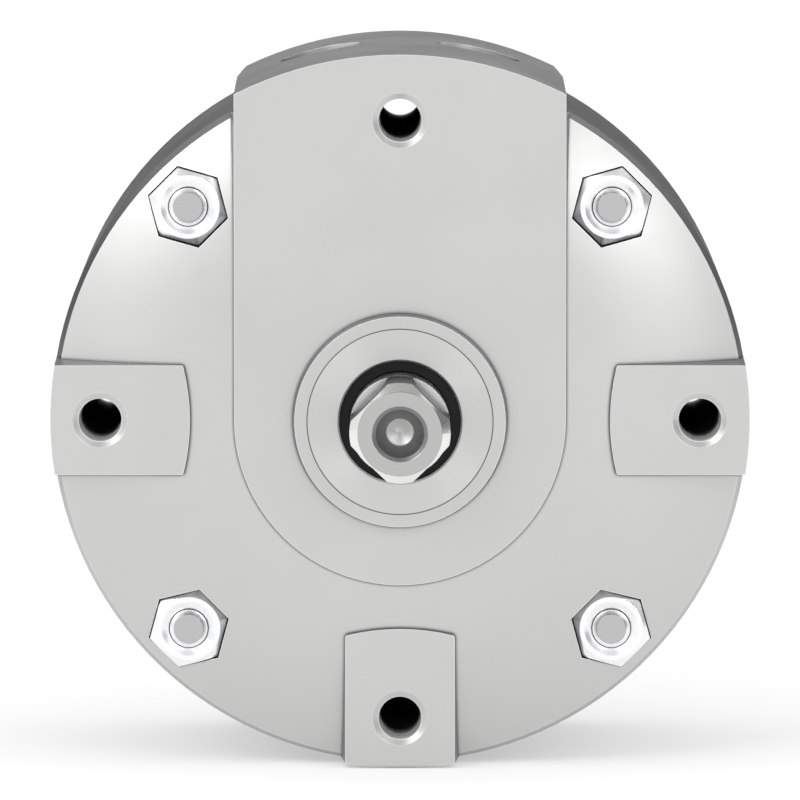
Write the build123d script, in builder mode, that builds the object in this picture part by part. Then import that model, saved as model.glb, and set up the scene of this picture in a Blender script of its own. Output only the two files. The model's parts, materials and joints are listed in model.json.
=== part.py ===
from build123d import *
import os
from math import cos, radians, sin, sqrt

# Pneumatic rotary actuator of the single vane type.
# Frame: Y runs along the shaft, from the square rear end to the round output end.
# Z points up, through the block with the air ports.
# The origin lies on the shaft axis, in the plane of the rear mounting pads.
# All sizes are in millimetres.

os.makedirs("parts", exist_ok=True)

# Castings
drum_r = 35.0
dome_start_r = 17.0
dome_start_drop = 0.3
rim_edge_r = 34.5
rim_edge_drop = 3.9
rim_drop = 5.5
boss_height = 2.0
rear_boss_top_r = 10.56
rear_boss_foot_r = 10.75
pilot_r = 12.5
pilot_chamfer = 0.3

# Port block on top of the drum, narrowest at the front
block_rise = 1.6
rear_block_half = 16.6
joint_block_half = 16.75
front_block_half = 16.0

# Mounting lugs with tapped holes
mount_circle_r = 30.0
lug_width = 11.0
lug_inner_r = 21.0
lug_end_r = 22.0
lug_corner_r = 0.25
pad_draft = 5
lug_turns = (0, 180, 270)
tapped_hole_r = 2.15
tapped_hole_mouth_r = 2.75
tapped_mouth_angle = 120

# Tie bolts with nuts in hexagonal pockets
tie_wall = 3.6
tie_count = 4
tie_first_turn = 45
bolt_r = 1.9
bolt_hole_r = 2.4
bolt_tip_y = 2.0
bolt_tip_chamfer = 0.45
bolt_head_r = 3.5
bolt_head_height = 4.0
bolt_head_pocket_r = 3.75
bolt_head_seat_depth = 7.0
bolt_head_chamfer = 0.4
socket_flats = 3.0
socket_depth = 2.0
nut_flats = 7.0
nut_height = 3.2
nut_seat_y = 5.4
nut_face_r = 3.17
nut_bore_mouth_r = 2.73
nut_bore_angle = 120
nut_pocket_gap = 0.12
nut_chamfer_angle = 30

# Air ports, M5, drilled straight down through the shoe to either side of it
port_x = 8.0
port_inset = 7.0
port_seat_depth = 2.2
port_seat_r = 4.25
port_thread_r = 2.15
port_mouth_r = 2.6
port_mouth_angle = 90
port_thread_depth = 7.5
air_hole_r = 1.5

# Vane chamber
chamber_r = 24.0
chamber_length = 20.0

# Shaft
shaft_r = 5.0
rear_end_length = 13.5
output_length = 18.0
square_flats = 8.6
square_length = 8.7
square_turn = 45
rear_tip_chamfer = 0.85
front_tip_chamfer = 0.6
relief_gap = 0.4
relief_width = 1.0
relief_r = 4.8
output_flat_z = 4.5
centre_mouth_r = 2.8
centre_step_r = 2.4
centre_hole_r = 1.35
centre_mouth_depth = 0.25
centre_step_depth = 2.05
centre_hole_depth = 2.6
centre_tip_depth = 0.8
hub_r = 8.0

# Vane and its seal
swing_half_angle = 135
vane_thickness = 6.0
vane_root_z = -2.6
vane_side_gap = 0.4
vane_tip_gap = 0.6
vane_groove_width = 2.6
vane_groove_depth = 1.8
vane_seal_width = 2.5
seal_running_gap = 0.1
vane_pin_r = 1.25
vane_pin_half_length = 4.6
vane_pin_z = -5.2
vane_pin_spacing = 9.0

# Stator shoe, which fills the sector that the vane never enters
stop_gap = 1.5
shoe_pin_r = 1.5
shoe_pin_x = 3.2
shoe_pin_inset = 4.5
shoe_pin_bite = 4.0
shoe_seal_thickness = 1.6
shoe_seal_depth = 1.7
stop_pad_thickness = 1.4
stop_pad_length = 4.0
stop_pad_width = 12.0
stop_pad_inset = 0.85
stop_pad_corner_r = 0.8

# Needle bearings, seals and cap rings, the same set at both ends
cap_r = 9.28
cap_bore_r = 6.07
cap_height = 3.0
cap_bore_chamfer = 0.2
cup_r = 7.0
cup_race_r = 6.4
cup_lip_r = 5.4
cup_lip_thickness = 0.5
cup_length = 10.0
needle_r = 0.65
needle_length = 7.4
needle_count = 10
cage_inner_r = 5.35
cage_outer_r = 6.05
cage_length = 8.8
cage_window_gap = 0.07
washer_r = 10.0
washer_thickness = 1.0
seal_face_drop = 0.4
seal_flange_r = 6.9
seal_flange_thickness = 0.9
seal_space = 1.0
seal_relief = 0.4

# Joint of the two castings
joint_seal_width = 1.6
joint_seal_height = 1.15
joint_groove_gap = 0.05
dowel_r = 1.5
dowel_bite = 5.0
dowel_turns = (22.5, 202.5)
dowel_chamfer = 0.3

# Clearances
seat_gap = 0.02
cap_seat_gap = 0.03
face_gap = 0.05
hub_side_gap = 0.15
hub_shoe_gap = 0.15
shaft_seal_gap = 0.06
washer_bore_gap = 0.15
cut_past = 1.0

# Places that follow from the sizes above
end_wall = cap_height - boss_height + seal_space + cup_length + washer_thickness
chamber_rear_y = end_wall
parting_y = chamber_rear_y + chamber_length
body_length = parting_y + end_wall
tie_circle_r = chamber_r + tie_wall + bolt_hole_r
joint_seal_r = chamber_r + tie_wall / 2
shaft_rear_y = -boss_height - rear_end_length
shaft_front_y = body_length + boss_height + output_length
square_end_y = shaft_rear_y + square_length
relief_y = body_length + boss_height + relief_gap
output_flat_y = relief_y + relief_width
block_top_r = drum_r + block_rise
port_y = parting_y - port_inset
port_seat_z = block_top_r - port_seat_depth
needle_circle_r = (shaft_r + cup_race_r) / 2
hub_rear_y = chamber_rear_y + hub_side_gap
hub_front_y = parting_y - hub_side_gap
vane_rear_y = chamber_rear_y + vane_side_gap
vane_front_y = parting_y - vane_side_gap
vane_tip_r = chamber_r - vane_tip_gap
vane_pin_y = chamber_rear_y + chamber_length / 2
shoe_r = chamber_r - face_gap
shoe_rear_y = chamber_rear_y + face_gap
shoe_front_y = parting_y - face_gap
wedge_half_angle = 180 - swing_half_angle
flank_offset = vane_thickness / 2 + stop_gap
wedge_apex_z = flank_offset / sin(radians(wedge_half_angle))
shoe_pin_z = chamber_r - shoe_pin_inset
flank_end = sqrt((chamber_r - stop_pad_inset) ** 2 - flank_offset**2)
stop_pad_end = flank_end - wedge_apex_z * cos(radians(wedge_half_angle))
bolt_head_seat_y = body_length - bolt_head_seat_depth
port_bottom_z = sqrt(chamber_r**2 - (port_x + air_hole_r) ** 2) - cut_past


def across(y, turn=0):
    """Plane square to the shaft at depth y, with its x axis turned from +X towards +Z."""
    radial = (cos(radians(turn)), 0, sin(radians(turn)))
    return Plane(origin=(0, y, 0), x_dir=radial, z_dir=(0, -1, 0))


def around(y, radius, turns, outward=-1):
    """Planes at points of a circle about the shaft, x axis radial, z axis along outward Y."""
    planes = []
    for turn in turns:
        radial = Vector(cos(radians(turn)), 0, sin(radians(turn)))
        origin = radial * radius + Vector(0, y, 0)
        planes.append(Plane(origin=origin, x_dir=radial, z_dir=(0, outward, 0)))
    return planes


def even_turns(count, first=0):
    return [first + 360 / count * i for i in range(count)]


def add_disc(radius, y_from, y_to, mode=Mode.ADD):
    """Cylinder about the shaft axis between two depths."""
    with BuildSketch(across(y_to)) as disc:
        Circle(radius)
    extrude(disc.sketch, amount=y_to - y_from, mode=mode)


def add_ring(inner_r, outer_r, y_from, y_to):
    """Flat-faced ring about the shaft axis between two depths."""
    with BuildSketch(across(y_to)) as ring:
        Circle(outer_r)
        Circle(inner_r, mode=Mode.SUBTRACT)
    extrude(ring.sketch, amount=y_to - y_from)


def add_turned(points, mode=Mode.ADD):
    """Solid of revolution about the shaft from (radius, depth) points."""
    with BuildSketch(Plane.XY) as profile:
        with BuildLine():
            Polyline(*points, close=True)
        make_face()
    revolve(profile.sketch, axis=Axis.Y, mode=mode)


def add_port_block(y_from, half_from, y_to, half_to):
    """Block over the drum with an arched top and side faces that taper along the shaft."""
    half = max(half_from, half_to)
    with BuildSketch(across(y_to)) as arch:
        Circle(block_top_r)
        with Locations((0, block_top_r / 2)):
            Rectangle(2 * half, block_top_r, mode=Mode.INTERSECT)
    extrude(arch.sketch, amount=y_to - y_from)
    with BuildSketch(Plane.XY) as taper:
        Polygon((-half_from, y_from), (half_from, y_from), (half_to, y_to), (-half_to, y_to), align=None)
    extrude(taper.sketch, amount=block_top_r + cut_past, mode=Mode.INTERSECT)


def add_drum(face_y, inward, joint_y):
    """Drum with a domed end face, flat in the middle, and a bevelled rim."""
    flat_y = face_y + inward * dome_start_drop
    rim_edge = (rim_edge_r, face_y + inward * rim_edge_drop)
    with BuildSketch(Plane.XY) as profile:
        with BuildLine():
            Line((0, flat_y), (dome_start_r, flat_y))
            TangentArc((dome_start_r, flat_y), rim_edge, tangent=(1, 0))
            Polyline(rim_edge, (drum_r, face_y + inward * rim_drop), (drum_r, joint_y), (0, joint_y))
            Line((0, joint_y), (0, flat_y))
        make_face()
    revolve(profile.sketch, axis=Axis.Y)


def add_pads(face_y, inward, half_width):
    """Raised flat pads with drafted walls: the round foot of the block and the three lugs."""
    with BuildSketch(across(face_y)) as foot:
        Circle(half_width)
        Rectangle(2 * half_width, drum_r + cut_past, align=(Align.CENTER, Align.MIN))
    extrude(foot.sketch, amount=-inward * rim_drop, taper=-pad_draft)
    for turn in lug_turns:
        with BuildSketch(across(face_y, turn)) as lug:
            with Locations((lug_inner_r, 0)):
                Rectangle(drum_r + cut_past - lug_inner_r, lug_width, align=(Align.MIN, Align.CENTER))
            with Locations((lug_inner_r + lug_end_r, 0)):
                Circle(lug_end_r, mode=Mode.INTERSECT)
            inner_corners = lug.vertices().sort_by_distance((0, 0))[:2]
            fillet(inner_corners, lug_corner_r)
        extrude(lug.sketch, amount=-inward * rim_drop, taper=-pad_draft)
    add_disc(drum_r, face_y + inward * rim_drop, face_y, mode=Mode.INTERSECT)


def cut_tapped_holes(face_y, outward, depth):
    """Tapped holes with a countersunk mouth, one in each lug and one in the block."""
    with Locations(*around(face_y, mount_circle_r, even_turns(4), outward)):
        CounterSinkHole(tapped_hole_r, tapped_hole_mouth_r, depth, tapped_mouth_angle)


def cut_bolt_holes(y_from, y_to):
    with BuildSketch(*around(y_to, tie_circle_r, even_turns(tie_count, tie_first_turn))) as holes:
        Circle(bolt_hole_r)
    extrude(holes.sketch, amount=y_to - y_from, mode=Mode.SUBTRACT)


def cut_dowel_holes(y_from, y_to):
    with BuildSketch(*around(y_to, tie_circle_r, dowel_turns)) as holes:
        Circle(dowel_r + seat_gap)
    extrude(holes.sketch, amount=y_to - y_from, mode=Mode.SUBTRACT)


def cut_shoe_pin_holes(radius, y_from, y_to):
    with BuildSketch(across(y_to)) as holes:
        with Locations((-shoe_pin_x, shoe_pin_z), (shoe_pin_x, shoe_pin_z)):
            Circle(radius)
    extrude(holes.sketch, amount=y_to - y_from, mode=Mode.SUBTRACT)


def cut_bearing_seats(face_y, inward, chamber_y):
    """Stepped bore for the cap ring, the needle bearing and the thrust washer."""
    mouth_y = face_y - inward * boss_height
    cap_seat_y = mouth_y + inward * cap_height
    washer_y = chamber_y - inward * washer_thickness
    add_turned(
        [
            (0, mouth_y - inward * cut_past),
            (cap_r + cap_seat_gap, mouth_y - inward * cut_past),
            (cap_r + cap_seat_gap, cap_seat_y),
            (cup_r + seat_gap, cap_seat_y),
            (cup_r + seat_gap, washer_y),
            (washer_r + seat_gap, washer_y),
            (washer_r + seat_gap, chamber_y + inward * cut_past),
            (0, chamber_y + inward * cut_past),
        ],
        mode=Mode.SUBTRACT,
    )


# Rear housing: the cup that holds the vane chamber, with the ports and the nut pockets
with BuildPart() as rear_block:
    add_port_block(0, rear_block_half, parting_y, joint_block_half)

with BuildPart() as rear_housing:
    add_pads(0, 1, rear_block_half)
    add_drum(0, 1, parting_y)
    add(rear_block.part)
    add_turned([(0, -boss_height), (rear_boss_top_r, -boss_height), (rear_boss_foot_r, 0), (0, 0)])
    add_disc(chamber_r, chamber_rear_y, parting_y, mode=Mode.SUBTRACT)
    cut_bearing_seats(0, 1, chamber_rear_y)
    cut_tapped_holes(0, -1, parting_y)
    cut_bolt_holes(nut_seat_y, parting_y)
    with BuildSketch(*around(nut_seat_y, tie_circle_r, even_turns(tie_count, tie_first_turn))):
        RegularPolygon(nut_flats / 2 + nut_pocket_gap, 6, major_radius=False, rotation=30)
    extrude(amount=nut_seat_y + boss_height, mode=Mode.SUBTRACT)
    cut_dowel_holes(parting_y - dowel_bite, parting_y)
    cut_shoe_pin_holes(shoe_pin_r + seat_gap, chamber_rear_y - shoe_pin_bite, chamber_rear_y)
    for side in (-1, 1):
        with BuildSketch(Plane.XY.offset(port_seat_z)):
            with Locations((side * port_x, port_y)):
                Circle(port_seat_r)
        extrude(amount=block_top_r - port_seat_z, mode=Mode.SUBTRACT)
        with Locations((side * port_x, port_y, port_seat_z)):
            CounterSinkHole(port_thread_r, port_mouth_r, port_thread_depth, port_mouth_angle)
            Hole(air_hole_r, depth=port_seat_z - port_bottom_z)
rear_housing.part.label = "rear_housing"
export_step(rear_housing.part, "parts/rear_housing.step")

# Front housing: the cover that closes the chamber, with the pilot boss and the bolt heads
with BuildPart() as front_block:
    add_port_block(parting_y, joint_block_half, body_length, front_block_half)

with BuildPart() as front_housing:
    add_pads(body_length, -1, front_block_half)
    add_drum(body_length, -1, parting_y)
    add(front_block.part)
    add_turned(
        [
            (0, body_length),
            (pilot_r, body_length),
            (pilot_r, body_length + boss_height - pilot_chamfer),
            (pilot_r - pilot_chamfer, body_length + boss_height),
            (0, body_length + boss_height),
        ]
    )
    cut_bearing_seats(body_length, -1, parting_y)
    cut_tapped_holes(body_length, 1, body_length - parting_y)
    cut_bolt_holes(parting_y, bolt_head_seat_y)
    with BuildSketch(*around(body_length, tie_circle_r, even_turns(tie_count, tie_first_turn))):
        Circle(bolt_head_pocket_r)
    extrude(amount=bolt_head_seat_depth, mode=Mode.SUBTRACT)
    cut_dowel_holes(parting_y, parting_y + dowel_bite)
    cut_shoe_pin_holes(shoe_pin_r + seat_gap, parting_y, parting_y + shoe_pin_bite)
    with BuildSketch(across(parting_y + joint_seal_height + joint_groove_gap)):
        Circle(joint_seal_r + joint_seal_width / 2 + joint_groove_gap)
        Circle(joint_seal_r - joint_seal_width / 2 - joint_groove_gap, mode=Mode.SUBTRACT)
    extrude(amount=joint_seal_height + joint_groove_gap, mode=Mode.SUBTRACT)
front_housing.part.label = "front_housing"
export_step(front_housing.part, "parts/front_housing.step")

# Seal ring between the castings
with BuildPart() as joint_seal:
    add_ring(
        joint_seal_r - joint_seal_width / 2,
        joint_seal_r + joint_seal_width / 2,
        parting_y,
        parting_y + joint_seal_height,
    )
joint_seal.part.label = "joint_seal"
export_step(joint_seal.part, "parts/joint_seal.step")

# Dowels that line up the castings
with BuildPart() as housing_dowels:
    dowel_reach = dowel_bite - face_gap
    with BuildSketch(*around(parting_y + dowel_reach, tie_circle_r, dowel_turns)):
        Circle(dowel_r)
    extrude(amount=2 * dowel_reach)
    chamfer(housing_dowels.edges().filter_by(GeomType.CIRCLE), dowel_chamfer)
housing_dowels.part.label = "housing_dowels"
export_step(housing_dowels.part, "parts/housing_dowels.step")

# Socket head tie bolts, heads at the front and ends just proud of the rear nuts
with BuildPart() as tie_bolts:
    bolt_turns = even_turns(tie_count, tie_first_turn)
    with BuildSketch(*around(bolt_head_seat_y, tie_circle_r, bolt_turns)):
        Circle(bolt_r)
    extrude(amount=bolt_head_seat_y - bolt_tip_y)
    chamfer(tie_bolts.edges().group_by(Axis.Y)[0], bolt_tip_chamfer)
    with BuildSketch(*around(bolt_head_seat_y + bolt_head_height, tie_circle_r, bolt_turns)):
        Circle(bolt_head_r)
    extrude(amount=bolt_head_height)
    chamfer(tie_bolts.edges().group_by(Axis.Y)[-1], bolt_head_chamfer)
    with BuildSketch(*around(bolt_head_seat_y + bolt_head_height, tie_circle_r, bolt_turns)):
        RegularPolygon(socket_flats / 2, 6, major_radius=False)
    extrude(amount=socket_depth, mode=Mode.SUBTRACT)
tie_bolts.part.label = "tie_bolts"
export_step(tie_bolts.part, "parts/tie_bolts.step")

# Hexagon nuts, each with one flat facing away from the shaft
with BuildPart() as hex_nuts:
    nut_top_y = nut_seat_y - nut_height
    nut_cone_growth = nut_height / sin(radians(nut_chamfer_angle)) * cos(radians(nut_chamfer_angle))
    with BuildSketch(*around(nut_seat_y, tie_circle_r, even_turns(tie_count, tie_first_turn))):
        RegularPolygon(nut_flats / 2, 6, major_radius=False, rotation=30)
    extrude(amount=nut_height)
    with Locations(*around(nut_seat_y, tie_circle_r, even_turns(tie_count, tie_first_turn))):
        Cone(
            nut_face_r + nut_cone_growth,
            nut_face_r,
            nut_height,
            align=(Align.CENTER, Align.CENTER, Align.MIN),
            mode=Mode.INTERSECT,
        )
    with Locations(*around(nut_top_y, tie_circle_r, even_turns(tie_count, tie_first_turn))):
        CounterSinkHole(bolt_r + seat_gap, nut_bore_mouth_r, nut_height, nut_bore_angle)
hex_nuts.part.label = "hex_nuts"
export_step(hex_nuts.part, "parts/hex_nuts.step")

# Drive shaft with its hub, square rear end and flatted output end
with BuildPart() as drive_shaft:
    add_turned(
        [
            (0, shaft_rear_y),
            (shaft_r - rear_tip_chamfer, shaft_rear_y),
            (shaft_r, shaft_rear_y + rear_tip_chamfer),
            (shaft_r, hub_rear_y),
            (hub_r, hub_rear_y),
            (hub_r, hub_front_y),
            (shaft_r, hub_front_y),
            (shaft_r, relief_y),
            (relief_r, relief_y),
            (relief_r, relief_y + relief_width),
            (shaft_r, relief_y + relief_width),
            (shaft_r, shaft_front_y - front_tip_chamfer),
            (shaft_r - front_tip_chamfer, shaft_front_y),
            (0, shaft_front_y),
        ]
    )
    with BuildSketch(across(square_end_y)):
        Circle(shaft_r + cut_past)
        Rectangle(square_flats, square_flats, rotation=square_turn, mode=Mode.SUBTRACT)
    extrude(amount=square_end_y - shaft_rear_y + cut_past, mode=Mode.SUBTRACT)
    with BuildSketch(across(shaft_front_y)):
        with Locations((0, output_flat_z)):
            Rectangle(2 * shaft_r, shaft_r, align=(Align.CENTER, Align.MIN))
    extrude(amount=shaft_front_y - output_flat_y, mode=Mode.SUBTRACT)
    for end_y, inward in ((shaft_rear_y, 1), (shaft_front_y, -1)):
        add_turned(
            [
                (0, end_y),
                (centre_mouth_r, end_y),
                (centre_step_r, end_y + inward * centre_mouth_depth),
                (centre_hole_r, end_y + inward * centre_step_depth),
                (centre_hole_r, end_y + inward * centre_hole_depth),
                (0, end_y + inward * (centre_hole_depth + centre_tip_depth)),
            ],
            mode=Mode.SUBTRACT,
        )
    with BuildSketch(across(hub_front_y)):
        with Locations((0, vane_root_z + face_gap)):
            Rectangle(vane_thickness + 2 * seat_gap, hub_r, align=(Align.CENTER, Align.MAX))
    extrude(amount=hub_front_y - hub_rear_y, mode=Mode.SUBTRACT)
    with BuildSketch(Plane.YZ.offset(hub_r)):
        with Locations((vane_pin_y, vane_pin_z)):
            with GridLocations(vane_pin_spacing, 0, 2, 1):
                Circle(vane_pin_r + seat_gap)
    extrude(amount=-2 * hub_r, mode=Mode.SUBTRACT)
drive_shaft.part.label = "drive_shaft"
export_step(drive_shaft.part, "parts/drive_shaft.step")


def add_edge_frame(y_from, y_to, z_top, z_bottom, depth_side, depth_bottom, thickness, mode=Mode.ADD):
    """U-shaped strip of even thickness along two sides and the far edge of a plate."""
    low_z = min(z_top, z_bottom)
    with BuildSketch(Plane.YZ) as frame:
        with Locations(((y_from + y_to) / 2, low_z)):
            Rectangle(y_to - y_from, abs(z_top - z_bottom), align=(Align.CENTER, Align.MIN))
        open_z = low_z if z_top < z_bottom else low_z + depth_bottom
        with Locations(((y_from + y_to) / 2, open_z)):
            Rectangle(
                y_to - y_from - 2 * depth_side,
                abs(z_top - z_bottom) - depth_bottom,
                align=(Align.CENTER, Align.MIN),
                mode=Mode.SUBTRACT,
            )
    extrude(frame.sketch, amount=thickness / 2, both=True, mode=mode)


# Vane blade, hanging from its slot in the hub at mid travel
with BuildPart() as vane:
    with BuildSketch(across(vane_front_y)):
        Circle(vane_tip_r)
        with Locations((0, vane_root_z)):
            Rectangle(vane_thickness, chamber_r, align=(Align.CENTER, Align.MAX), mode=Mode.INTERSECT)
    extrude(amount=vane_front_y - vane_rear_y)
    add_edge_frame(
        vane_rear_y,
        vane_front_y,
        -hub_r,
        -chamber_r,
        vane_groove_depth,
        vane_groove_depth + chamber_r - vane_tip_r,
        vane_groove_width,
        mode=Mode.SUBTRACT,
    )
    with BuildSketch(Plane.YZ.offset(vane_thickness)):
        with Locations((vane_pin_y, vane_pin_z)):
            with GridLocations(vane_pin_spacing, 0, 2, 1):
                Circle(vane_pin_r + seat_gap)
    extrude(amount=-2 * vane_thickness, mode=Mode.SUBTRACT)
vane.part.label = "vane"
export_step(vane.part, "parts/vane.step")

# Lip seal in the groove round the vane's edges
with BuildPart() as vane_seal:
    add_edge_frame(
        chamber_rear_y + seal_running_gap,
        parting_y - seal_running_gap,
        -hub_r - face_gap,
        -chamber_r,
        vane_groove_depth + vane_side_gap - seal_running_gap - face_gap,
        vane_groove_depth + chamber_r - vane_tip_r - face_gap,
        vane_seal_width,
    )
    with BuildSketch(across(parting_y)):
        Circle(chamber_r - seal_running_gap)
    extrude(amount=chamber_length, mode=Mode.INTERSECT)
vane_seal.part.label = "vane_seal"
export_step(vane_seal.part, "parts/vane_seal.step")

# Pins that lock the vane in the hub
with BuildPart() as vane_pins:
    with BuildSketch(Plane.YZ):
        with Locations((vane_pin_y, vane_pin_z)):
            with GridLocations(vane_pin_spacing, 0, 2, 1):
                Circle(vane_pin_r)
    extrude(amount=vane_pin_half_length, both=True)
vane_pins.part.label = "vane_pins"
export_step(vane_pins.part, "parts/vane_pins.step")

# Stator shoe: a wedge between the two ends of the swing, with the air holes through it
with BuildPart() as stator_shoe:
    with BuildSketch(across(shoe_front_y)):
        Circle(shoe_r)
        Circle(hub_r + hub_shoe_gap, mode=Mode.SUBTRACT)
        wedge_half_top = shoe_r * sin(radians(wedge_half_angle)) / cos(radians(wedge_half_angle))
        Polygon(
            (0, wedge_apex_z),
            (wedge_half_top, wedge_apex_z + shoe_r),
            (-wedge_half_top, wedge_apex_z + shoe_r),
            align=None,
            mode=Mode.INTERSECT,
        )
    extrude(amount=shoe_front_y - shoe_rear_y)
    with Locations((-port_x, port_y, shoe_r), (port_x, port_y, shoe_r)):
        Hole(air_hole_r, depth=shoe_r - wedge_apex_z)
    cut_shoe_pin_holes(shoe_pin_r + seat_gap, shoe_rear_y, shoe_front_y)
    add_edge_frame(
        shoe_rear_y,
        shoe_front_y,
        shoe_r,
        hub_r,
        shoe_seal_depth,
        shoe_seal_depth + hub_shoe_gap,
        shoe_seal_thickness + 2 * seat_gap,
        mode=Mode.SUBTRACT,
    )
stator_shoe.part.label = "stator_shoe"
export_step(stator_shoe.part, "parts/stator_shoe.step")

# Strip seal in the shoe, against the hub and both end walls
with BuildPart() as shoe_seal:
    add_edge_frame(
        shoe_rear_y,
        shoe_front_y,
        shoe_r,
        hub_r + seal_running_gap,
        shoe_seal_depth - face_gap,
        shoe_seal_depth + hub_shoe_gap - seal_running_gap - face_gap,
        shoe_seal_thickness,
    )
shoe_seal.part.label = "shoe_seal"
export_step(shoe_seal.part, "parts/shoe_seal.step")

# Pins through the shoe into both castings
with BuildPart() as shoe_pins:
    pin_rear_y = chamber_rear_y - shoe_pin_bite + face_gap
    pin_front_y = parting_y + shoe_pin_bite - face_gap
    with BuildSketch(across(pin_front_y)):
        with Locations((-shoe_pin_x, shoe_pin_z), (shoe_pin_x, shoe_pin_z)):
            Circle(shoe_pin_r)
    extrude(amount=pin_front_y - pin_rear_y)
    chamfer(shoe_pins.edges().filter_by(GeomType.CIRCLE), dowel_chamfer)
shoe_pins.part.label = "shoe_pins"
export_step(shoe_pins.part, "parts/shoe_pins.step")

# Elastic stop pads on both flanks of the shoe
with BuildPart() as stop_pads:
    for side in (-1, 1):
        along = Vector(side * sin(radians(wedge_half_angle)), 0, cos(radians(wedge_half_angle)))
        off_flank = Vector(side * cos(radians(wedge_half_angle)), 0, -sin(radians(wedge_half_angle)))
        middle_y = chamber_rear_y + chamber_length / 2
        origin = Vector(0, middle_y, wedge_apex_z) + along * (stop_pad_end - stop_pad_length / 2)
        with BuildSketch(Plane(origin=origin, x_dir=along, z_dir=off_flank)):
            RectangleRounded(stop_pad_length, stop_pad_width, stop_pad_corner_r)
        extrude(amount=stop_pad_thickness)
stop_pads.part.label = "stop_pads"
export_step(stop_pads.part, "parts/stop_pads.step")


def add_cap_ring(mouth_y, inward):
    """Ring pressed into the boss over the bearing, with a bevelled bore."""
    add_turned(
        [
            (cap_bore_r + cap_bore_chamfer, mouth_y),
            (cap_r, mouth_y),
            (cap_r, mouth_y + inward * cap_height),
            (cap_bore_r, mouth_y + inward * cap_height),
            (cap_bore_r, mouth_y + inward * cap_bore_chamfer),
        ]
    )


def add_shaft_seal(mouth_y, inward):
    """Rubber seal: a sleeve inside the cap ring with a flange behind it."""
    flange_y = mouth_y + inward * (cap_height + face_gap)
    back_y = flange_y + inward * seal_flange_thickness
    lip_r = shaft_r + shaft_seal_gap
    add_turned(
        [
            (lip_r, mouth_y + inward * seal_face_drop),
            (cap_bore_r - seat_gap, mouth_y + inward * seal_face_drop),
            (cap_bore_r - seat_gap, flange_y),
            (seal_flange_r, flange_y),
            (seal_flange_r, back_y),
            (lip_r + seal_relief, back_y),
            (lip_r, flange_y),
        ]
    )


def add_needle_cup(end_y, inward):
    """Drawn cup with a lip at each end; end_y is the end that touches the thrust washer."""
    far_y = end_y - inward * cup_length
    add_turned(
        [
            (cup_lip_r, end_y),
            (cup_r, end_y),
            (cup_r, far_y),
            (cup_lip_r, far_y),
            (cup_lip_r, far_y + inward * cup_lip_thickness),
            (cup_race_r, far_y + inward * cup_lip_thickness),
            (cup_race_r, end_y - inward * cup_lip_thickness),
            (cup_lip_r, end_y - inward * cup_lip_thickness),
        ]
    )


def add_needles(middle_y):
    end_y = middle_y + needle_length / 2
    with BuildSketch(*around(end_y, needle_circle_r, even_turns(needle_count))) as ends:
        Circle(needle_r)
    extrude(ends.sketch, amount=needle_length)


def add_needle_cage(middle_y):
    """Thin ring with one window for each needle."""
    add_ring(cage_inner_r, cage_outer_r, middle_y - cage_length / 2, middle_y + cage_length / 2)
    window_width = 2 * (needle_r + cage_window_gap)
    window_length = needle_length + 2 * cage_window_gap
    for turn in even_turns(needle_count):
        radial = Vector(cos(radians(turn)), 0, sin(radians(turn)))
        with BuildSketch(Plane(origin=(0, middle_y, 0), x_dir=(0, 1, 0), z_dir=radial)) as window:
            Rectangle(window_length, window_width)
        extrude(window.sketch, amount=cage_outer_r + cut_past, mode=Mode.SUBTRACT)


# Bearing, seal, cap and thrust washer at each end of the chamber
ends = (
    ("rear", 0, 1, chamber_rear_y),
    ("front", body_length, -1, parting_y),
)
for name, face_y, inward, chamber_y in ends:
    mouth_y = face_y - inward * boss_height
    washer_y = chamber_y - inward * washer_thickness
    bearing_middle_y = washer_y - inward * cup_length / 2

    with BuildPart() as cap_ring:
        add_cap_ring(mouth_y, inward)
    cap_ring.part.label = f"{name}_cap_ring"
    export_step(cap_ring.part, f"parts/{name}_cap_ring.step")

    with BuildPart() as shaft_seal:
        add_shaft_seal(mouth_y, inward)
    shaft_seal.part.label = f"{name}_shaft_seal"
    export_step(shaft_seal.part, f"parts/{name}_shaft_seal.step")

    with BuildPart() as needle_cup:
        add_needle_cup(washer_y, inward)
    needle_cup.part.label = f"{name}_needle_cup"
    export_step(needle_cup.part, f"parts/{name}_needle_cup.step")

    with BuildPart() as needles:
        add_needles(bearing_middle_y)
    needles.part.label = f"{name}_needles"
    export_step(needles.part, f"parts/{name}_needles.step")

    with BuildPart() as needle_cage:
        add_needle_cage(bearing_middle_y)
    needle_cage.part.label = f"{name}_needle_cage"
    export_step(needle_cage.part, f"parts/{name}_needle_cage.step")

    with BuildPart() as thrust_washer:
        add_ring(shaft_r + washer_bore_gap, washer_r, min(washer_y, chamber_y), max(washer_y, chamber_y))
    thrust_washer.part.label = f"{name}_thrust_washer"
    export_step(thrust_washer.part, f"parts/{name}_thrust_washer.step")
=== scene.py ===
import json
from math import cos, pi, radians, sin

import bmesh
import bpy
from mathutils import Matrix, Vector


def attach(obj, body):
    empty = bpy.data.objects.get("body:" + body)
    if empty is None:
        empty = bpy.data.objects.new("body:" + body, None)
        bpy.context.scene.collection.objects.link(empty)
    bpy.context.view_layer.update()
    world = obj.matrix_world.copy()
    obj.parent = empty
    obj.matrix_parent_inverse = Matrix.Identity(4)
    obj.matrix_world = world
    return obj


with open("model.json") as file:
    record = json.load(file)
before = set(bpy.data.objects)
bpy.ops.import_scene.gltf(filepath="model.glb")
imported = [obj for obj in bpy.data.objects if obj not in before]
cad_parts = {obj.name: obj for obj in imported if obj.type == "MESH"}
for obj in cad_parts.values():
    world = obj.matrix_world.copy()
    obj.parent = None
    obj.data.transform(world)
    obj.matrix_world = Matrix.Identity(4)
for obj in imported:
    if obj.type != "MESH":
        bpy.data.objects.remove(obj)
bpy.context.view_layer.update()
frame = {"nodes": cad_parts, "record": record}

MM = 0.001
NODES = frame["nodes"]
Y, Z = 1, 2


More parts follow.
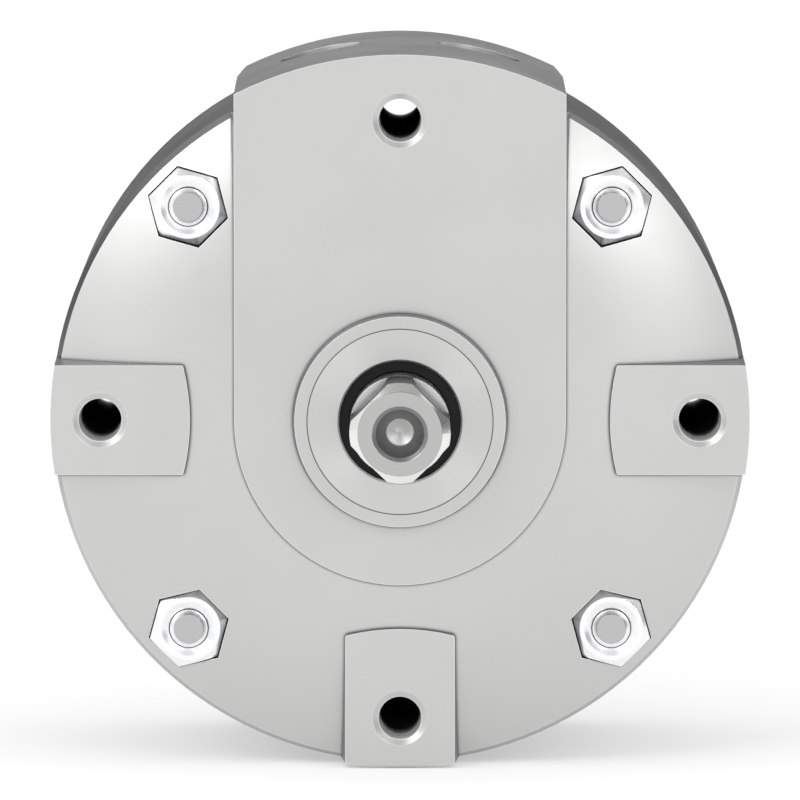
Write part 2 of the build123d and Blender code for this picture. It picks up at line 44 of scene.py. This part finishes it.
def extent(node, axis):
    """Lowest and highest coordinate of a CAD node along one axis."""
    cad = NODES[node]
    along = [(cad.matrix_world @ vertex.co)[axis] for vertex in cad.data.vertices]
    return min(along), max(along)


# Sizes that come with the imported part
MOUNTS = {mount["name"]: mount for mount in frame["record"]["mounts"]}
HOLE_CIRCLE_R = MOUNTS["rear_hole_circle"]["dims"]["pcd_mm"] / 2 * MM
BODY_LENGTH = MOUNTS["front_hole_circle"]["pos_m"][1]
PORT_X, PORT_Y, _ = MOUNTS["right_air_port"]["pos_m"]
SHAFT_REAR_Y, SHAFT_FRONT_Y = extent("drive_shaft", Y)
BOLT_END_Y = extent("tie_bolts", Y)[0]
LOWEST_Z = extent("rear_housing", Z)[0]

# Sizes of the castings and the shaft that the finishes follow
DRUM_R = 35 * MM
RIM_BEVEL_R = 34.25 * MM
CAP_SEAM_R = 9.29 * MM
SQUARE_FRONT_Y = -6.85 * MM
CENTRE_DRILL_R = 1.36 * MM
CENTRE_CONE_R = 2.35 * MM
CENTRE_MOUTH_R = 2.84 * MM
HOLE_MASK_R = 2.3 * MM

# M5 threads in the mounting holes and ports
THREAD_PITCH = 0.8 * MM
THREAD_ROOT_R = 2.17 * MM
THREAD_CREST_R = 2.05 * MM
MOUNT_THREAD_START = 3.6 * MM
MOUNT_THREAD_TURNS = 48
PORT_THREAD_TOP_Z = 33.6 * MM
PORT_THREAD_TURNS = 8


# Node helpers

class Graph:
    """A material's node tree with short helpers for adding and joining nodes."""

    def __init__(self, name):
        self.material = bpy.data.materials.new(name)
        self.material.use_nodes = True
        self.tree = self.material.node_tree
        self.shader = self.tree.nodes["Principled BSDF"]
        coords = self.tree.nodes.new("ShaderNodeTexCoord")
        self.place = coords.outputs["Object"]
        self.normal = self.tree.nodes.new("ShaderNodeNewGeometry").outputs["Normal"]
        self.normal_y = self.node("ShaderNodeSeparateXYZ", {"Vector": self.normal}).outputs["Y"]
        xyz = self.node("ShaderNodeSeparateXYZ", {"Vector": self.place})
        self.x, self.y, self.z = xyz.outputs["X"], xyz.outputs["Y"], xyz.outputs["Z"]

    def node(self, kind, inputs=None, **settings):
        made = self.tree.nodes.new(kind)
        for key, value in settings.items():
            setattr(made, key, value)
        for key, value in (inputs or {}).items():
            socket = made.inputs[key]
            if isinstance(value, bpy.types.NodeSocket):
                self.tree.links.new(value, socket)
            else:
                socket.default_value = value
        return made

    def math(self, operation, a, b=0.0, clamp=False):
        made = self.node("ShaderNodeMath", {0: a, 1: b}, operation=operation, use_clamp=clamp)
        return made.outputs[0]

    def noise(self, scale, detail, roughness, vector=None):
        inputs = {
            "Vector": vector or self.place,
            "Scale": scale,
            "Detail": detail,
            "Roughness": roughness,
        }
        return self.node("ShaderNodeTexNoise", inputs).outputs["Fac"]

    def stretch(self, scale):
        made = self.node("ShaderNodeMapping", {"Vector": self.place, "Scale": scale})
        return made.outputs["Vector"]

    def ramp(self, value, low, high, to_low, to_high):
        inputs = {
            "Value": value,
            "From Min": low,
            "From Max": high,
            "To Min": to_low,
            "To Max": to_high,
        }
        return self.node("ShaderNodeMapRange", inputs, clamp=True).outputs["Result"]

    def mix(self, factor, first, second):
        made = self.node("ShaderNodeMix", {0: factor, 6: first, 7: second}, data_type="RGBA")
        return made.outputs[2]

    def bump(self, height, distance, normal):
        inputs = {"Height": height, "Distance": distance, "Strength": 1.0, "Normal": normal}
        return self.node("ShaderNodeBump", inputs).outputs["Normal"]

    def soft_edge(self, radius):
        return self.node("ShaderNodeBevel", {"Radius": radius}, samples=6).outputs["Normal"]

    def set(self, **values):
        for key, value in values.items():
            socket = self.shader.inputs[key.replace("_", " ")]
            if isinstance(value, bpy.types.NodeSocket):
                self.tree.links.new(value, socket)
            else:
                socket.default_value = value


def rgb(r, g, b):
    return (r, g, b, 1.0)


def edge_mask(g, rounded):
    """1 along sharp edges, where the rounded normal leaves the true one."""
    dot = g.node(
        "ShaderNodeVectorMath", {0: rounded, 1: g.normal}, operation="DOT_PRODUCT"
    ).outputs["Value"]
    return g.ramp(dot, 0.995, 0.90, 0.0, 1.0)


def open_sky(g, distance):
    """How open a surface is to its near surroundings: 1 on flat faces and less in corners."""
    return g.node("ShaderNodeAmbientOcclusion", {"Distance": distance}, samples=6).outputs["AO"]


def painted_corner_shade(g, distance, darkest):
    """Painted shade for inner corners and narrow gaps: a darkening factor, 1 on open surfaces."""
    return g.ramp(open_sky(g, distance), 0.45, 0.92, darkest, 1.0)


def shade(g, colour, factor):
    """Colour times a grey factor."""
    made = g.node("ShaderNodeVectorMath", {0: colour, "Scale": factor}, operation="SCALE")
    return made.outputs["Vector"]


def length_of(g, a, b):
    """Length of the flat vector (a, b)."""
    return g.math("SQRT", g.math("ADD", g.math("MULTIPLY", a, a), g.math("MULTIPLY", b, b)))


def radius_from_axis(g):
    return length_of(g, g.x, g.z)


def painted_seam_shade(g):
    """Factor of painted shade that darkens both edges of the fine seam between boss and cap ring.
    """
    off_seam = g.math("ABSOLUTE", g.math("SUBTRACT", radius_from_axis(g), CAP_SEAM_R))
    return g.ramp(off_seam, 0.04 * MM, 0.09 * MM, 0.38, 1.0)


def hole_walls(g):
    """Mask that is 1 on the walls of the mounting holes, and a factor of painted shade that
    darkens holes and ports away from their mouths.
    """
    across_x = g.math("ABSOLUTE", g.x)
    across_z = g.math("ABSOLUTE", g.z)
    to_side_hole = length_of(g, g.math("SUBTRACT", across_x, HOLE_CIRCLE_R), g.z)
    to_top_hole = length_of(g, g.x, g.math("SUBTRACT", across_z, HOLE_CIRCLE_R))
    in_hole = g.math("LESS_THAN", g.math("MINIMUM", to_side_hole, to_top_hole), HOLE_MASK_R)
    near_shade = g.ramp(g.y, 2.2 * MM, 8.5 * MM, 0.0, 0.92)
    far_shade = g.ramp(g.y, BODY_LENGTH - 2.5 * MM, BODY_LENGTH - 0.6 * MM, 0.90, 0.0)
    hole_shade = g.math("MINIMUM", near_shade, far_shade)
    depth = g.math("MINIMUM", g.y, g.math("SUBTRACT", BODY_LENGTH, g.y))
    port_x = g.math("SUBTRACT", across_x, PORT_X)
    port_y = g.math("SUBTRACT", g.y, PORT_Y)
    in_port = g.math("LESS_THAN", length_of(g, port_x, port_y), HOLE_MASK_R)
    port_shade = g.ramp(g.z, 29 * MM, 34 * MM, 0.90, 0.0)
    shade_in_hole = g.math("MULTIPLY", in_hole, hole_shade)
    shade_in_port = g.math("MULTIPLY", in_port, port_shade)
    painted_light_left = g.math("SUBTRACT", 1.0, g.math("MAXIMUM", shade_in_hole, shade_in_port))
    past_mouth = g.math("GREATER_THAN", depth, 0.3 * MM)
    return g.math("MULTIPLY", in_hole, past_mouth), painted_light_left


# Materials

def cast_aluminium():
    """Fine blasted die casting: painted shade on the sides and rim bevel, smoother worn edges with
    a painted highlight, painted shade in inner corners.
    """
    g = Graph("cast_aluminium")
    rounded = g.soft_edge(0.06 * MM)
    wide = g.soft_edge(0.17 * MM)
    grain = g.noise(5200, 3, 0.6)
    ripple = g.noise(240, 2, 0.5)
    mottle = g.noise(70, 3, 0.55)
    fine = g.math("MULTIPLY", grain, 0.0022 * MM)
    coarse = g.math("MULTIPLY", ripple, 0.004 * MM)
    normal = g.bump(g.math("ADD", fine, coarse), 1.0, rounded)

    # End faces, drum side, block top and the steep bevel of the rim each have their own tone:
    # painted shade makes the drum side, block top and bevel darker than the end faces, the bevel
    # darker above than below, and dims their reflections
    radius = radius_from_axis(g)
    endwise = g.math("ABSOLUTE", g.normal_y)
    facing = g.ramp(endwise, 0.33, 0.50, 0.0, 1.0)
    on_block = g.ramp(radius, DRUM_R + 0.2 * MM, DRUM_R + 0.4 * MM, 0.0, 1.0)
    on_rim = g.ramp(radius, RIM_BEVEL_R - 0.05 * MM, RIM_BEVEL_R + 0.05 * MM, 0.0, 1.0)
    rim_bevel = g.math("MULTIPLY", on_rim, g.ramp(endwise, 0.15, 0.25, 0.0, 1.0))
    low = g.ramp(g.z, -12 * MM, 8 * MM, 1.0, 0.0)
    low_bevel = g.math("MULTIPLY", rim_bevel, low)
    bevel_shade = g.mix(low, rgb(0.27, 0.272, 0.275), rgb(0.52, 0.52, 0.515))
    side = g.mix(on_block, rgb(0.37, 0.372, 0.375), rgb(0.50, 0.50, 0.496))
    side = g.mix(rim_bevel, side, bevel_shade)
    mottled = g.ramp(mottle, 0.35, 0.65, 0.0, 1.0)
    face = g.mix(mottled, rgb(0.585, 0.585, 0.578), rgb(0.605, 0.605, 0.598))
    base = g.mix(facing, side, face)
    # Painted shade on reflections: tinted darker on the drum side and the upper half of the rim
    # bevel
    unshaded_reflection = g.math("MAXIMUM", g.math("MAXIMUM", facing, on_block), low_bevel)
    reflection_shade = g.mix(unshaded_reflection, rgb(0.72, 0.72, 0.72), rgb(1.0, 1.0, 1.0))

    # Worn outer edges with a painted highlight, painted shade in the corners, dull walls and
    # painted shade down the holes
    sky = open_sky(g, 0.35 * MM)
    wear_and_highlight = g.math("MULTIPLY", edge_mask(g, wide), g.ramp(sky, 0.80, 0.97, 0.0, 1.0))
    # Edges lightened partly by wear and partly as a painted highlight
    base = g.mix(g.math("MULTIPLY", wear_and_highlight, 0.8), base, rgb(0.92, 0.92, 0.91))
    # Painted shade in inner corners
    crevice_shade = g.ramp(sky, 0.45, 0.92, 0.16, 1.0)
    on_wall, painted_light_left = hole_walls(g)
    base = g.mix(on_wall, base, rgb(0.82, 0.815, 0.805))
    # Painted shade along the seam between boss and cap ring
    painted_light_left = g.math("MULTIPLY", painted_light_left, painted_seam_shade(g))
    colour = shade(g, base, g.math("MULTIPLY", crevice_shade, painted_light_left))
    rough = g.math("ADD", g.ramp(mottle, 0.3, 0.7, 0.36, 0.44), g.math("MULTIPLY", wear_and_highlight, -0.08))
    g.set(
        Base_Color=colour,
        Metallic=g.ramp(on_wall, 0.0, 1.0, 1.0, 0.20),
        Roughness=rough,
        Normal=normal,
        Specular_Tint=reflection_shade,
    )
    return g.material


def turned_aluminium():
    """Lathe turned faces with fine concentric tool marks that stretch the gloss outwards."""
    g = Graph("turned_aluminium")
    rounded = g.soft_edge(0.08 * MM)
    rings = g.math("SINE", g.math("MULTIPLY", radius_from_axis(g), 2 * pi / (0.11 * MM)))
    drift = g.noise(420, 2, 0.5)
    marks = g.math("MULTIPLY", rings, 0.0003 * MM)
    waves = g.math("MULTIPLY", drift, 0.0015 * MM)
    normal = g.bump(g.math("ADD", marks, waves), 1.0, rounded)
    base = g.mix(g.ramp(drift, 0.3, 0.7, 0.0, 1.0), rgb(0.59, 0.59, 0.583), rgb(0.62, 0.62, 0.613))
    # Painted shade in inner corners and along the seam to the boss
    colour = shade(g, base, g.math("MULTIPLY", painted_corner_shade(g, 0.35 * MM, 0.12), painted_seam_shade(g)))
    around = g.node("ShaderNodeTangent", direction_type="RADIAL", axis="Y").outputs["Tangent"]
    g.set(
        Base_Color=colour,
        Metallic=1.0,
        Roughness=g.ramp(drift, 0.3, 0.7, 0.34, 0.42),
        Normal=normal,
        Anisotropic=0.75,
        Tangent=around,
    )
    return g.material


def zinc_steel():
    """Bright zinc plate, slightly cloudy, with soft rolled edges and duller cut bolt ends."""
    g = Graph("zinc_steel")
    rounded = g.soft_edge(0.08 * MM)
    cloud = g.noise(320, 3, 0.6)
    normal = g.bump(cloud, 0.002 * MM, rounded)
    base = g.mix(g.ramp(cloud, 0.35, 0.65, 0.0, 1.0), rgb(0.91, 0.92, 0.93), rgb(0.96, 0.96, 0.96))
    cut_end = g.ramp(g.y, BOLT_END_Y + 0.04 * MM, BOLT_END_Y + 0.08 * MM, 1.0, 0.0)
    base = g.mix(cut_end, base, rgb(0.50, 0.50, 0.50))
    # Painted shade in inner corners and gaps
    colour = shade(g, base, painted_corner_shade(g, 0.16 * MM, 0.16))
    rough = g.ramp(cloud, 0.3, 0.7, 0.24, 0.32)
    g.set(Base_Color=colour, Metallic=1.0, Roughness=rough, Normal=normal)
    return g.material


def plated_steel():
    """Nickel plated shaft, ground lengthwise, with painted shade on the milled flats and in the
    cones of the drilled centres.
    """
    g = Graph("plated_steel")
    rounded = g.soft_edge(0.05 * MM)
    lines = g.noise(1.0, 3, 0.6, g.stretch((5200, 260, 5200)))
    cloud = g.noise(260, 2, 0.5)
    normal = g.bump(lines, 0.0005 * MM, rounded)
    plated = g.mix(g.ramp(cloud, 0.3, 0.7, 0.0, 1.0), rgb(0.80, 0.80, 0.79), rgb(0.85, 0.85, 0.84))
    sideways = g.ramp(g.math("ABSOLUTE", g.normal_y), 0.2, 0.4, 1.0, 0.0)
    on_square = g.math("LESS_THAN", g.y, SQUARE_FRONT_Y)
    on_flat = g.math("MULTIPLY", sideways, on_square)
    # Painted shade on the milled flats, in their colour and their reflections
    base = g.mix(on_flat, plated, rgb(0.23, 0.23, 0.232))
    reflection_shade = g.mix(on_flat, rgb(1.0, 1.0, 1.0), rgb(0.52, 0.52, 0.52))
    rear_end = g.ramp(g.y, SHAFT_REAR_Y + 0.03 * MM, SHAFT_REAR_Y + 0.07 * MM, 1.0, 0.0)
    front_end = g.ramp(g.y, SHAFT_FRONT_Y - 0.07 * MM, SHAFT_FRONT_Y - 0.03 * MM, 0.0, 1.0)
    base = g.mix(g.math("MAXIMUM", rear_end, front_end), base, rgb(0.47, 0.47, 0.465))
    radius = radius_from_axis(g)
    in_centre = g.math("LESS_THAN", radius, CENTRE_MOUTH_R)
    past_rear = g.math("GREATER_THAN", g.y, SHAFT_REAR_Y + 0.03 * MM)
    before_front = g.math("LESS_THAN", g.y, SHAFT_FRONT_Y - 0.03 * MM)
    drilled = g.math("MULTIPLY", in_centre, g.math("MULTIPLY", past_rear, before_front))
    past_cone = g.ramp(radius, CENTRE_CONE_R - 0.05 * MM, CENTRE_CONE_R + 0.05 * MM, 0.0, 1.0)
    past_drill = g.ramp(radius, CENTRE_DRILL_R - 0.02 * MM, CENTRE_DRILL_R + 0.02 * MM, 0.0, 1.0)
    # Painted shade in the cone of the centre drilling
    cone_shade = g.mix(past_cone, rgb(0.20, 0.20, 0.20), rgb(0.24, 0.24, 0.24))
    base = g.mix(drilled, base, g.mix(past_drill, rgb(0.86, 0.86, 0.85), cone_shade))
    # Painted shade in inner corners
    colour = shade(g, base, painted_corner_shade(g, 0.25 * MM, 0.5))
    rough = g.math("ADD", g.ramp(lines, 0.3, 0.7, 0.18, 0.26), g.math("MULTIPLY", drilled, 0.20))
    g.set(
        Base_Color=colour, Metallic=1.0, Roughness=rough, Normal=normal, Specular_Tint=reflection_shade
    )
    return g.material


def plain_steel(name, low, high, rough_low, rough_high):
    """Ground or hardened steel with fine lengthwise lines."""
    g = Graph(name)
    rounded = g.soft_edge(0.06 * MM)
    lines = g.noise(1.0, 3, 0.6, g.stretch((4200, 400, 4200)))
    normal = g.bump(lines, 0.003 * MM, rounded)
    colour = g.mix(g.ramp(lines, 0.3, 0.7, 0.0, 1.0), low, high)
    rough = g.ramp(lines, 0.3, 0.7, rough_low, rough_high)
    g.set(Base_Color=colour, Metallic=1.0, Roughness=rough, Normal=normal)
    return g.material


def bearing_bronze():
    """Sintered bronze with open pores."""
    g = Graph("bearing_bronze")
    pores = g.noise(3000, 3, 0.65)
    normal = g.bump(pores, 0.012 * MM, g.soft_edge(0.05 * MM))
    colour = g.mix(g.ramp(pores, 0.4, 0.6, 0.0, 1.0), rgb(0.45, 0.30, 0.16), rgb(0.66, 0.48, 0.27))
    rough = g.ramp(pores, 0.3, 0.7, 0.34, 0.55)
    g.set(Base_Color=colour, Metallic=1.0, Roughness=rough, Normal=normal)
    return g.material


def moulding(name, tones, rough_range, grain_scale, grain_depth, gloss=0.5):
    """Plastic or rubber moulding with a fine matt skin."""
    g = Graph(name)
    grain = g.noise(grain_scale, 3, 0.6)
    cloud = g.noise(180, 2, 0.5)
    normal = g.bump(grain, grain_depth, g.soft_edge(0.08 * MM))
    colour = g.mix(g.ramp(cloud, 0.3, 0.7, 0.0, 1.0), *tones)
    rough = g.ramp(grain, 0.3, 0.7, *rough_range)
    g.set(
        Base_Color=colour, Metallic=0.0, Roughness=rough, Normal=normal, Specular_IOR_Level=gloss
    )
    return g.material


FINISHES = {
    "cast_aluminium": cast_aluminium(),
    "turned_aluminium": turned_aluminium(),
    "zinc_steel": zinc_steel(),
    "plated_steel": plated_steel(),
    "ground_steel": plain_steel(
        "ground_steel", rgb(0.56, 0.57, 0.58), rgb(0.66, 0.66, 0.67), 0.22, 0.36
    ),
    "bearing_steel": plain_steel(
        "bearing_steel", rgb(0.60, 0.61, 0.62), rgb(0.70, 0.70, 0.71), 0.12, 0.24
    ),
    "cage_plastic": moulding(
        "cage_plastic",
        (rgb(0.74, 0.68, 0.52), rgb(0.82, 0.77, 0.62)),
        (0.42, 0.58),
        grain_scale=1800,
        grain_depth=0.008 * MM,
    ),
    "bearing_bronze": bearing_bronze(),
    "vane_plastic": moulding(
        "vane_plastic",
        (rgb(0.16, 0.17, 0.18), rgb(0.23, 0.24, 0.25)),
        (0.40, 0.55),
        grain_scale=1500,
        grain_depth=0.010 * MM,
    ),
    "seal_polyurethane": moulding(
        "seal_polyurethane",
        (rgb(0.07, 0.13, 0.21), rgb(0.11, 0.18, 0.27)),
        (0.34, 0.48),
        grain_scale=1300,
        grain_depth=0.006 * MM,
    ),
    "black_rubber": moulding(
        "black_rubber",
        (rgb(0.006, 0.006, 0.006), rgb(0.012, 0.0115, 0.011)),
        (0.30, 0.42),
        grain_scale=2200,
        grain_depth=0.004 * MM,
        gloss=0.16,
    ),
}

for part in frame["record"]["subparts"]:
    cad = NODES[part["node"]]
    cad.data.materials.clear()
    cad.data.materials.append(FINISHES[part["material_slot"]])


# Screw threads

def thread_ridge(name, starts, along, out, turns):
    """Helical ridges on the walls of tapped holes, each from its start point along its axis."""
    steps = 20
    side = along.cross(out)
    half_ridge = along * (0.3 * THREAD_PITCH)
    verts = []
    faces = []
    for start in starts:
        for i in range(turns * steps + 1):
            angle = 2 * pi * i / steps
            radial = out * cos(angle) + side * sin(angle)
            middle = start + along * (THREAD_PITCH * i / steps)
            first = len(verts)
            verts.append(middle + radial * THREAD_ROOT_R - half_ridge)
            verts.append(middle + radial * THREAD_CREST_R)
            verts.append(middle + radial * THREAD_ROOT_R + half_ridge)
            if i:
                faces.append((first - 3, first - 2, first + 1, first))
                faces.append((first - 2, first - 1, first + 2, first + 1))
    mesh = bpy.data.meshes.new(name)
    mesh.from_pydata([tuple(v) for v in verts], [], faces)
    mesh.materials.append(FINISHES["cast_aluminium"])
    made = bpy.data.objects.new(name, mesh)
    bpy.context.scene.collection.objects.link(made)
    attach(made, "housing")


mount_starts = [
    Vector((x * HOLE_CIRCLE_R, MOUNT_THREAD_START, z * HOLE_CIRCLE_R))
    for x, z in ((1, 0), (0, 1), (-1, 0), (0, -1))
]
port_starts = [Vector((side * PORT_X, PORT_Y, PORT_THREAD_TOP_Z)) for side in (-1, 1)]
FORWARD, DOWN, SIDEWAYS = Vector((0, 1, 0)), Vector((0, 0, -1)), Vector((1, 0, 0))
thread_ridge("mount_threads", mount_starts, FORWARD, SIDEWAYS, MOUNT_THREAD_TURNS)
thread_ridge("port_threads", port_starts, DOWN, SIDEWAYS, PORT_THREAD_TURNS)


# Studio

def stage_material(name, camera_strength, albedo):
    """Matt surface that also shows pale by itself to the camera, gloss and glass rays."""
    g = Graph(name)
    path = g.node("ShaderNodeLightPath")
    seen = g.math("ADD", path.outputs["Is Camera Ray"], path.outputs["Is Glossy Ray"])
    seen = g.math("ADD", seen, path.outputs["Is Transmission Ray"], clamp=True)
    matt = g.node("ShaderNodeBsdfDiffuse", {"Color": rgb(albedo, albedo, albedo)})
    glow = g.node(
        "ShaderNodeEmission",
        {"Color": rgb(1, 1, 1), "Strength": g.math("MULTIPLY", seen, camera_strength)},
    )
    both = g.node("ShaderNodeAddShader", {0: matt.outputs[0], 1: glow.outputs[0]})
    output = g.tree.nodes["Material Output"]
    g.tree.links.new(both.outputs[0], output.inputs["Surface"])
    g.tree.nodes.remove(g.shader)
    return g.material


def plain_plane(name, size, location, direction, material):
    """Square plane centred on location and facing along direction."""
    bm = bmesh.new()
    bmesh.ops.create_grid(bm, x_segments=1, y_segments=1, size=size / 2)
    mesh = bpy.data.meshes.new(name)
    bm.to_mesh(mesh)
    bm.free()
    made = bpy.data.objects.new(name, mesh)
    made.location = location
    made.rotation_euler = Vector(direction).to_track_quat("Z", "Y").to_euler()
    mesh.materials.append(material)
    bpy.context.scene.collection.objects.link(made)
    return made


def card(name, width, height, location, strength):
    """Glowing or dark card that faces the object and shapes its reflections only."""
    g = Graph(name)
    glow = g.node("ShaderNodeEmission", {"Color": rgb(1, 1, 1), "Strength": strength})
    g.tree.links.new(glow.outputs[0], g.tree.nodes["Material Output"].inputs["Surface"])
    g.tree.nodes.remove(g.shader)
    made = plain_plane(name, 1.0, location, -Vector(location), g.material)
    made.scale = (width, height, 1.0)
    made.visible_camera = False
    made.visible_diffuse = False
    made.visible_shadow = False


def area_light(name, size, location, power):
    data = bpy.data.lights.new(name, "AREA")
    data.shape = "DISK"
    data.size = size
    data.energy = power
    made = bpy.data.objects.new(name, data)
    made.location = location
    made.rotation_euler = (-Vector(location)).to_track_quat("-Z", "Y").to_euler()
    bpy.context.scene.collection.objects.link(made)


FLOOR_GAP = 0.05 * MM
floor_z = LOWEST_Z - FLOOR_GAP
floor_matt = stage_material("floor_matt", camera_strength=0.42, albedo=0.62)
plain_plane("floor", 8.0, (0, 1.5, floor_z), (0, 0, 1), floor_matt)

world = bpy.data.worlds.new("studio")
world.use_nodes = True
bpy.context.scene.world = world
sky = world.node_tree.nodes["Background"]
sky.inputs["Color"].default_value = rgb(1, 1, 1)
sky.inputs["Strength"].default_value = 0.95

# Two large soft lamps in front, to the left and to the right
area_light("key", 0.9, (-0.9, -1.3, 1.0), 6)
area_light("fill", 0.9, (0.86, -1.44, 0.78), 4.3)

# What the metal mirrors: dark behind and to the right, grey above
card("dark_back", 3.0, 0.55, (0, 1.2, 0.26), 0.06)
card("dark_right", 1.5, 1.2, (1.5, -0.25, 0.35), 0.20)
card("grey_above", 1.8, 1.0, (0.1, -0.45, 1.5), 0.42)
card("grey_corner", 0.66, 0.66, (1.05, -0.74, 1.05), 0.03)

# Camera

# Long lens, a little above the shaft axis and tilted down
TILT = radians(5)
DISTANCE = 1050 * MM
RISE = 2.02 * MM
lens = bpy.data.cameras.new("photo_camera")
lens.sensor_width = 36
lens.lens = 472.5
lens.clip_end = 100
camera = bpy.data.objects.new("photo_camera", lens)
camera.location = (
    0,
    -DISTANCE * cos(TILT) + RISE * sin(TILT),
    DISTANCE * sin(TILT) + RISE * cos(TILT),
)
camera.rotation_euler = (pi / 2 - TILT, 0, 0)
bpy.context.scene.collection.objects.link(camera)
scene = bpy.context.scene
scene.camera = camera
scene.view_settings.view_transform = "Standard"
